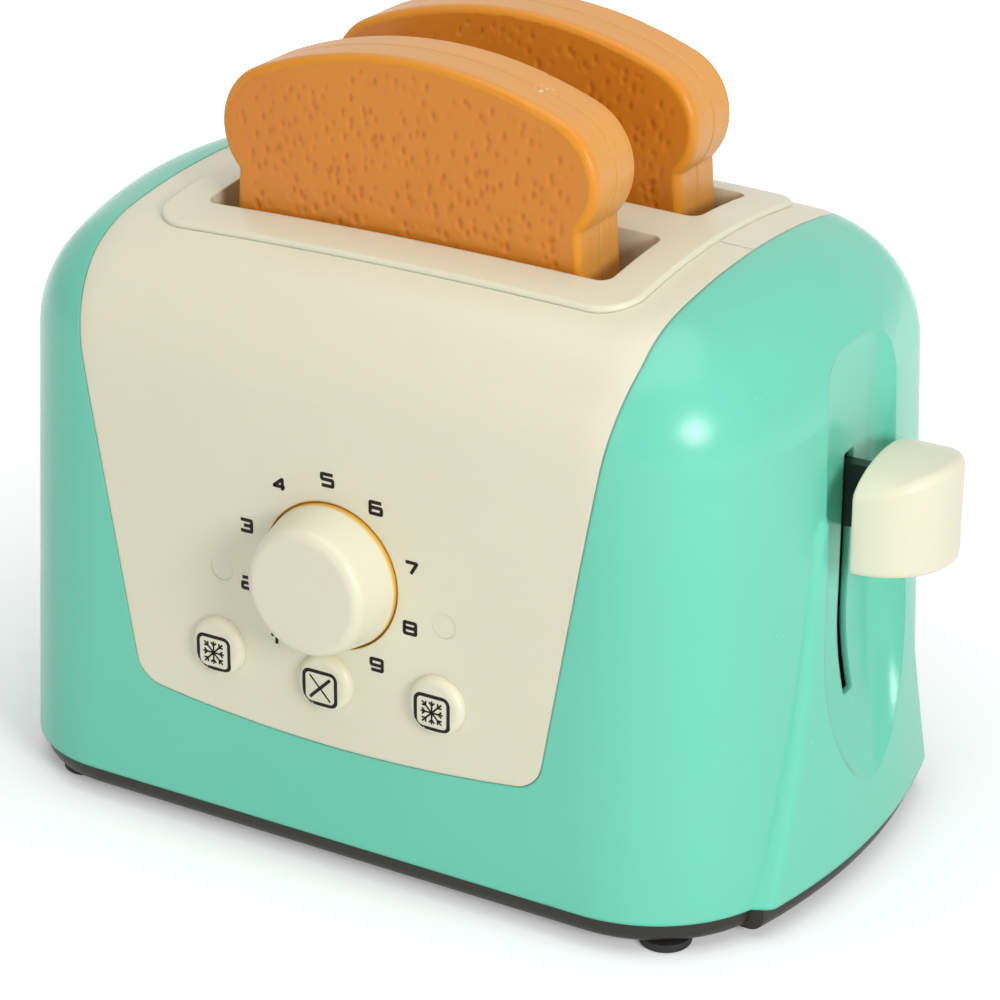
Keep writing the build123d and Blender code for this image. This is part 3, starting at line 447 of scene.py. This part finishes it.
# %% Printing ink
ink, tree, surface, place = new_finish("pad_printed_black_ink")
speck = add_node(tree, "ShaderNodeTexNoise", {},
                 {"Vector": place, "Scale": 1 / (0.25 * MM), "Detail": 2.0})
ink_tone = add_node(tree, "ShaderNodeMix", {"data_type": "RGBA"},
                    {0: speck.outputs["Fac"], 6: chip("120D09"), 7: chip("241C15")})
ink_bsdf = add_node(tree, "ShaderNodeBsdfPrincipled", {}, {
    "Base Color": ink_tone.outputs[2], "Roughness": 0.55, "Specular IOR Level": 0.2})
tree.links.new(ink_bsdf.outputs[0], surface)
print("made", ink.name)

# %% [markdown]
# ## Dress the mouldings
# A CAD moulding keeps its mesh. Only the material in its slots changes, so a table of
# name beginnings and finishes is enough.

# %% Give each moulding its finish
finish_of = {
    "body_shell": mint_abs,
    "front_panel": panel_abs, "rear_panel": cream_abs, "slot_surround": cream_abs,
    "lever_knob": cream_abs, "dial_knob": dial_abs,
    "base_plate": black_abs, "foot": rubber,
    "toast_chute": cream_abs, "toast_front": crust, "toast_rear": crust,
    "carriage": acetal, "dial_spindle": acetal, "mechanism_plate": acetal, "latch_lever": acetal,
    "rod_bracket": acetal,
    "base_screws": steel, "bracket_screws": steel, "mechanism_screws": steel,
    "guide_rod": steel, "popup_spring": steel, "latch_pin": steel,
}
for name, moulding in mouldings.items():
    for beginning, finish in finish_of.items():
        if name.startswith(beginning):
            for material_slot in moulding.material_slots:
                material_slot.material = finish
    print(name, moulding.material_slots[0].material.name)

# %% [markdown]
# ## Crumb faces
# Each side of a slice is pitted like crumb. The pits are shallow dimples, taller than
# wide. A displaced grid gives real dimples that catch the light, where a bump map alone
# would look printed on. The sheet is worked squashed in height, pitted with round cells,
# and pulled to its real height, which makes the pits oval. The sheet stands a hair proud of
# the slice, ends just inside its outline and fades to flat on the way there. It is closed
# behind, so that it is a solid slab.

# %% Helpers for working on one mesh by hand
def select_only(piece):
    """Make one object the only selected and active one."""
    bpy.ops.object.select_all(action="DESELECT")
    piece.select_set(True)
    bpy.context.view_layer.objects.active = piece


def settle(piece):
    """Put an object's place, turn and size into its mesh."""
    select_only(piece)
    bpy.ops.object.transform_apply(location=True, rotation=True, scale=True)


# %% How far the slice reaches at each height
def slice_reach(node):
    """Function of height that gives the half width of a toast half, by a ray from the side."""
    low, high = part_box(node)
    depth = high.y * 0.25 + low.y * 0.75
    skin_tree = BVHTree.FromObject(mouldings[node], bpy.context.evaluated_depsgraph_get())

    def reach(height):
        hit = skin_tree.ray_cast(Vector((1, depth, height)), Vector((-1, 0, 0)))[0]
        return hit.x - (low.x + high.x) / 2 if hit else 0.0

    return reach


near_low, near_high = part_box("toast_front_near_half")
far_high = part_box("toast_front_far_half")[1]
reach = slice_reach("toast_front_near_half")
print("half width at 120 mm:", reach(120 * MM) / MM)

# %% Crumb sheet
RIM_LEFT = 1.3 * MM
PLAIN_BORDER = 3.0 * MM
PIT_FADE = 1.5 * MM
CRUMB_PROUD = 0.04 * MM
SLAB = 0.5 * MM
CELL = 0.45 * MM
PIT_STRETCH = 1.6
# Texture kind, size of its cells and depth in mm, and the level that stays in place.
PITS = (("VORONOI", 1.9, 0.38, 1.0), ("CLOUDS", 8.0, 0.12, 0.5), ("CLOUDS", 1.6, 0.06, 0.5))


def crumb_sheet(name, face_y, outward):
    """Pitted slab that fills one face of the front slice; outward is -1 for the near side."""
    width = near_high.x - near_low.x
    height = near_high.z - near_low.z
    columns = int(width / CELL)
    rows = int(height / CELL)
    bpy.ops.mesh.primitive_grid_add(x_subdivisions=columns, y_subdivisions=rows, size=1)
    sheet = bpy.context.object
    sheet.name = name
    sheet.scale = (width, height, 1)
    sheet.rotation_euler = (pi / 2, 0, 0 if outward < 0 else pi)
    middle = (near_low + near_high) / 2
    sheet.location = (middle.x, face_y + outward * CRUMB_PROUD, middle.z)
    settle(sheet)
    bpy.ops.object.mode_set(mode="EDIT")
    bpy.ops.mesh.select_mode(type="VERT")
    bpy.ops.mesh.select_all(action="DESELECT")
    bpy.ops.object.mode_set(mode="OBJECT")
    pitted_part = sheet.vertex_groups.new(name="pitted part")
    keep_reach = {}
    for corner in sheet.data.vertices:
        z = round(corner.co.z, 6)
        if z not in keep_reach:
            keep_reach[z] = [min(reach(z - inset), reach(z), reach(z + inset)) - inset
                             for inset in (RIM_LEFT, PLAIN_BORDER)]
        aside = abs(corner.co.x - middle.x)
        corner.select = aside > keep_reach[z][0]
        share = (keep_reach[z][1] - aside) / PIT_FADE
        pitted_part.add([corner.index], min(1.0, max(0.0, share)), "REPLACE")
    bpy.ops.object.mode_set(mode="EDIT")
    bpy.ops.mesh.delete(type="VERT")
    bpy.ops.object.mode_set(mode="OBJECT")
    sheet.scale = (1, 1, 1 / PIT_STRETCH)
    settle(sheet)
    for kind, cell_size, depth, level in PITS:
        pits = bpy.data.textures.new(name + "_" + kind.lower(), kind)
        pits.noise_scale = cell_size * MM
        if kind == "VORONOI":
            pits.use_color_ramp = True
            pits.color_ramp.interpolation = "EASE"
            pits.color_ramp.elements[0].position = 0.08
            pits.color_ramp.elements[0].color = (0, 0, 0, 1)
            pits.color_ramp.elements[1].position = 0.5
            pits.color_ramp.elements[1].color = (1, 1, 1, 1)
        relief = sheet.modifiers.new(kind, "DISPLACE")
        relief.texture = pits
        relief.texture_coords = "LOCAL"
        relief.direction = "Y"
        relief.vertex_group = "pitted part"
        relief.strength = outward * depth * MM
        relief.mid_level = level
        bpy.ops.object.modifier_apply(modifier=relief.name)
    sheet.scale = (1, 1, PIT_STRETCH)
    settle(sheet)
    bpy.ops.object.mode_set(mode="EDIT")
    bpy.ops.mesh.select_all(action="DESELECT")
    bpy.ops.mesh.select_mode(type="EDGE")
    bpy.ops.mesh.select_non_manifold()
    bpy.ops.mesh.extrude_region_move(TRANSFORM_OT_translate={"value": (0, -outward * SLAB, 0)})
    bpy.ops.mesh.edge_face_add()
    bpy.ops.mesh.select_all(action="SELECT")
    bpy.ops.mesh.normals_make_consistent(inside=False)
    bpy.ops.object.mode_set(mode="OBJECT")
    bpy.ops.object.shade_smooth_by_angle(angle=radians(50))
    sheet.data.materials.append(crumb)
    print(name, len(sheet.data.polygons), "faces")
    return sheet


near_crumb = crumb_sheet("crumb_front_near", near_low.y, -1)
far_crumb = crumb_sheet("crumb_front_far", far_high.y, 1)


# %% The rear slice is the same moulding again
def copy_of(piece, name, shift):
    """Copy of a piece with its own mesh, moved in the mesh."""
    select_only(piece)
    bpy.ops.object.duplicate(linked=False)
    twin = bpy.context.object
    twin.name = name
    twin.location = shift
    settle(twin)
    return twin


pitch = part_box("toast_rear_near_half")[0].y - near_low.y
rear_near_crumb = copy_of(near_crumb, "crumb_rear_near", (0, pitch, 0))
rear_far_crumb = copy_of(far_crumb, "crumb_rear_far", (0, pitch, 0))
for crumb_face, body in ((near_crumb, "front_slice"), (far_crumb, "front_slice"),
                         (rear_near_crumb, "rear_slice"), (rear_far_crumb, "rear_slice")):
    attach(crumb_face, body)
print("slice pitch", pitch / MM)

# %% [markdown]
# ## Flat-topped buttons
# The three buttons are low caps with a flat top and a round shoulder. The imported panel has
# ball-shaped domes there, which bend a printed square badly. So the panel is copied, its
# domes are cut off and the holes filled level, and three caps are turned from cylinders and
# set a little into the panel. A weighted normal keeps the big flat of the panel evenly lit
# next to its round shoulder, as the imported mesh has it.

# %% Panel face
PANEL_LEAN = radians(1)
CLEAR_X = DIAL_X + 14 * MM
CLEAR_Z = 50 * MM
BUTTON_PLACES = {"left": (-29.5, 49.2), "middle": (-1.2, 47.4), "right": (27.3, 49.2)}
DOME_REACH = 11 * MM
FACE_PLAY = 0.01 * MM
WELD = 0.001 * MM
panel_tree = BVHTree.FromObject(mouldings["front_panel"], bpy.context.evaluated_depsgraph_get())
CLEAR_Y = panel_tree.ray_cast(Vector((CLEAR_X, -1, CLEAR_Z)), Vector((0, 1, 0)))[0].y


def panel_y(z):
    """Depth of the panel's outer face at a height; the face leans back by one degree."""
    return CLEAR_Y + (z - CLEAR_Z) * tan(PANEL_LEAN)


print("panel face at 50 mm:", panel_y(50 * MM) / MM)

# %% Cut the domes off a copy of the panel
select_only(mouldings["front_panel"])
bpy.ops.object.duplicate(linked=False)
panel = bpy.context.object
panel.name = "front_panel_level"
bpy.ops.mesh.customdata_custom_splitnormals_clear()
bpy.ops.object.mode_set(mode="EDIT")
bpy.ops.mesh.select_mode(type="VERT")
bpy.ops.mesh.select_all(action="SELECT")
bpy.ops.mesh.remove_doubles(threshold=WELD)
bpy.ops.mesh.select_all(action="DESELECT")
bpy.ops.object.mode_set(mode="OBJECT")
for corner in panel.data.vertices:
    for x, z in BUTTON_PLACES.values():
        aside = (Vector((corner.co.x, corner.co.z)) - Vector((DIAL_X + x * MM, z * MM))).length
        if aside < DOME_REACH and corner.co.y < panel_y(corner.co.z) - FACE_PLAY:
            corner.select = True
bpy.ops.object.mode_set(mode="EDIT")
bpy.ops.mesh.delete(type="VERT")
bpy.ops.mesh.select_all(action="DESELECT")
bpy.ops.mesh.select_non_manifold()
bpy.ops.mesh.fill_holes(sides=0)
bpy.ops.mesh.select_all(action="SELECT")
bpy.ops.mesh.normals_make_consistent(inside=False)
bpy.ops.object.mode_set(mode="OBJECT")
bpy.ops.object.shade_smooth_by_angle(angle=radians(30))
bpy.ops.object.modifier_add(type="WEIGHTED_NORMAL")
panel.modifiers[-1].keep_sharp = True
bpy.ops.object.modifier_apply(modifier=panel.modifiers[-1].name)
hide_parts("front_panel")
print(panel.name, len(panel.data.polygons), "faces")


# %% Turn the three caps
BUTTON_RADIUS = 6.9 * MM
BUTTON_RISE = 2.1 * MM
BUTTON_SUNK = 0.5 * MM
BUTTON_SHOULDER = 1.9 * MM
BUTTON_SIDES = 96
SHOULDER_STEPS = 7


def push_button(name, x, z):
    """Low cap with a flat top and a round shoulder, set into the panel."""
    bpy.ops.mesh.primitive_cylinder_add(vertices=BUTTON_SIDES, radius=BUTTON_RADIUS,
                                        depth=BUTTON_RISE + BUTTON_SUNK)
    cap = bpy.context.object
    cap.name = name
    cap.location.z = (BUTTON_RISE - BUTTON_SUNK) / 2
    settle(cap)
    bpy.ops.object.mode_set(mode="EDIT")
    bpy.ops.mesh.select_mode(type="FACE")
    bpy.ops.mesh.select_all(action="DESELECT")
    bpy.ops.object.mode_set(mode="OBJECT")
    for face in cap.data.polygons:
        face.select = face.normal.z > 0.9
    bpy.ops.object.mode_set(mode="EDIT")
    bpy.ops.mesh.bevel(offset=BUTTON_SHOULDER, segments=SHOULDER_STEPS)
    bpy.ops.object.mode_set(mode="OBJECT")
    cap.rotation_euler = (pi / 2 - PANEL_LEAN, 0, 0)
    cap.location = (x, panel_y(z), z)
    settle(cap)
    bpy.ops.object.shade_smooth_by_angle(angle=radians(30))
    cap.data.materials.append(cream_abs)
    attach(cap, "casing")
    print(name, [round(side / MM, 2) for side in cap.dimensions])
    return cap


buttons = {side: push_button("button_" + side, DIAL_X + x * MM, z * MM)
           for side, (x, z) in BUTTON_PLACES.items()}

# %% [markdown]
# ## Printed numbers and symbols
# The numbers round the dial and the symbols on the buttons are pad printed, a film of ink
# a few hundredths of a millimetre thick. The numbers have the square shape of appliance
# lettering, which no font in Blender has, so each is drawn as strokes. A curve with a
# rounded corner is turned into a flat ribbon, wrapped onto the plastic and thickened.

# %% A stroke drawn as a flat ribbon
def ribbon(name, strokes, width, corner):
    """Flat mesh of strokes in the XY plane; a stroke is (closed, [(x, y) in mm ...])."""
    drawing = bpy.data.curves.new(name, "CURVE")
    drawing.dimensions = "3D"
    drawing.twist_mode = "Z_UP"
    drawing.extrude = width / 2 * MM
    for closed, corners in strokes:
        points = [Vector(place) for place in corners]
        count = len(points)
        controls = []
        for index, point in enumerate(points):
            if not closed and index in (0, count - 1):
                controls.append(point)
                continue
            before = (points[index - 1] - point).normalized()
            after = (points[(index + 1) % count] - point).normalized()
            controls += [point + before * corner, point, point + after * corner]
        line = drawing.splines.new("NURBS")
        line.points.add(len(controls) - 1)
        for control, target in zip(controls, line.points):
            target.co = (control.x * MM, control.y * MM, 0, 1)
            target.tilt = pi / 2
        line.order_u = 3
        line.use_endpoint_u = not closed
        line.use_cyclic_u = closed
        line.resolution_u = 6
    drawn_line = bpy.data.objects.new(name, drawing)
    bpy.context.scene.collection.objects.link(drawn_line)
    select_only(drawn_line)
    bpy.ops.object.convert(target="MESH")
    return bpy.context.object


# %% Wrap a drawing onto the plastic
PRINT_FROM_Y = -80 * MM
FILM_LIFT = 0.02 * MM
FILM = 0.03 * MM


def print_on(base, piece, x, z):
    """Stand a flat drawing up, lay it on a base and make it a film of ink."""
    piece.rotation_euler = (pi / 2, 0, 0)
    piece.location = (x, PRINT_FROM_Y, z)
    settle(piece)
    wrap = piece.modifiers.new("lay on", "SHRINKWRAP")
    wrap.target = base
    wrap.wrap_method = "PROJECT"
    wrap.use_project_y = True
    wrap.use_positive_direction = True
    wrap.use_negative_direction = False
    wrap.offset = FILM_LIFT
    bpy.ops.object.modifier_apply(modifier=wrap.name)
    film = piece.modifiers.new("film", "SOLIDIFY")
    film.thickness = FILM
    film.offset = 0
    bpy.ops.object.modifier_apply(modifier=film.name)
    bpy.ops.object.mode_set(mode="EDIT")
    bpy.ops.mesh.select_all(action="SELECT")
    bpy.ops.mesh.normals_make_consistent(inside=False)
    bpy.ops.object.mode_set(mode="OBJECT")
    piece.data.materials.append(ink)
    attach(piece, "casing")
    print(piece.name, [round(side / MM, 2) for side in piece.dimensions])


# %% The nine numbers
# W and H are half the width and half the height of a digit. Each row of the table gives the
# degrees round the dial and the strokes in mm.
W, H = 1.42, 1.3
NUMBERS = {
    "1": (-143.8, [(False, [(-1.95, -0.2), (-0.55, 0.6), (-0.55, -2.0)])]),
    "2": (-108.5, [(False, [(-W, H), (W, H), (W, 0), (-W, 0), (-W, -H), (W, -H)])]),
    "3": (-72.2, [(False, [(-W, H), (W, H), (W, -H), (-W, -H)]), (False, [(-0.6, 0), (W, 0)])]),
    "4": (-33.4, [(False, [(0.8, -H), (0.8, H), (-W, -0.5), (W, -0.5)])]),
    "5": (0.4, [(False, [(W, H), (-W, H), (-W, 0.1), (W, 0.1), (W, -H), (-W, -H)])]),
    "6": (33.9, [(False, [(W, H), (-W, H), (-W, -H), (W, -H), (W, 0.1), (-W, 0.1)])]),
    "7": (72.8, [(False, [(-W, H), (W, H), (-0.1, -H)])]),
    "8": (110.0, [(True, [(-W, H), (W, H), (W, -H), (-W, -H)]), (False, [(-W, 0), (W, 0)])]),
    "9": (146.2, [(False, [(-W, -H), (W, -H), (W, H), (-W, H), (-W, -0.1), (W, -0.1)])]),
}
RING_X = DIAL_X - 0.69 * MM
RING_Z = DIAL_Z + 0.09 * MM
RING = 22.2 * MM
NUMBER_LINE, NUMBER_CORNER = 0.8, 0.5
for number, (degrees_round, strokes) in NUMBERS.items():
    turn = radians(degrees_round)
    mark = ribbon("number_" + number, strokes, NUMBER_LINE, NUMBER_CORNER)
    print_on(panel, mark, RING_X + RING * sin(turn), RING_Z + RING * cos(turn))

# %% Rounded square round a symbol
FRAME_W = 9.1 * MM
FRAME_H = 8.6 * MM
FRAME_LINE = 0.85 * MM
FRAME_CORNER = 1.9 * MM


def symbol_frame(name):
    """Outline of a rounded square: corners beveled on a plane, face inset, middle removed."""
    bpy.ops.mesh.primitive_plane_add(size=1)
    outline = bpy.context.object
    outline.name = name
    outline.scale = (FRAME_W, FRAME_H, 1)
    settle(outline)
    bpy.ops.object.mode_set(mode="EDIT")
    bpy.ops.mesh.select_all(action="SELECT")
    bpy.ops.mesh.bevel(offset=FRAME_CORNER, segments=6, affect="VERTICES")
    bpy.ops.mesh.select_all(action="SELECT")
    bpy.ops.mesh.inset(thickness=FRAME_LINE)
    bpy.ops.mesh.delete(type="FACE")
    bpy.ops.mesh.select_all(action="SELECT")
    bpy.ops.mesh.subdivide(number_cuts=4)
    bpy.ops.object.mode_set(mode="OBJECT")
    return outline


# %% The button symbols
# Lengths are in mm. Every second arm of the snowflake is longer, and two leaves leave each
# arm part of the way out.
ARM = 2.75
LONG_ARM = 1.25 * ARM
LEAF_PLACE = 0.62
FINE_LINE, BOLD_LINE = 0.42, 0.75
SYMBOL_CORNER = 0.1
snow_strokes = []
for eighth in range(8):
    angle = eighth * pi / 4
    arm = Vector((cos(angle), sin(angle))) * (ARM if eighth % 2 == 0 else LONG_ARM)
    snow_strokes.append((False, [(0, 0), tuple(arm)]))
    for lean in (pi / 4, -pi / 4):
        leaf = Vector((cos(angle + lean), sin(angle + lean)))
        snow_strokes.append((False, [tuple(arm * LEAF_PLACE), tuple(arm * LEAF_PLACE + leaf)]))
SYMBOLS = {
    "left": ((-30.0, 47.9), [(snow_strokes, FINE_LINE)]),
    "middle": ((-1.8, 46.4), [([(False, [(-2.6, -2.6), (2.7, 2.6)])], BOLD_LINE),
                              ([(False, [(-2.6, 2.8), (2.7, -2.8)])], FINE_LINE)]),
    "right": ((26.9, 48.0), [(snow_strokes, FINE_LINE)]),
}
for side, ((x, z), drawings) in SYMBOLS.items():
    print_on(buttons[side], symbol_frame("symbol_frame_" + side), DIAL_X + x * MM, z * MM)
    for part, (strokes, width) in enumerate(drawings):
        mark = ribbon(f"symbol_{side}_{part}", strokes, width, SYMBOL_CORNER)
        print_on(buttons[side], mark, DIAL_X + x * MM, z * MM)
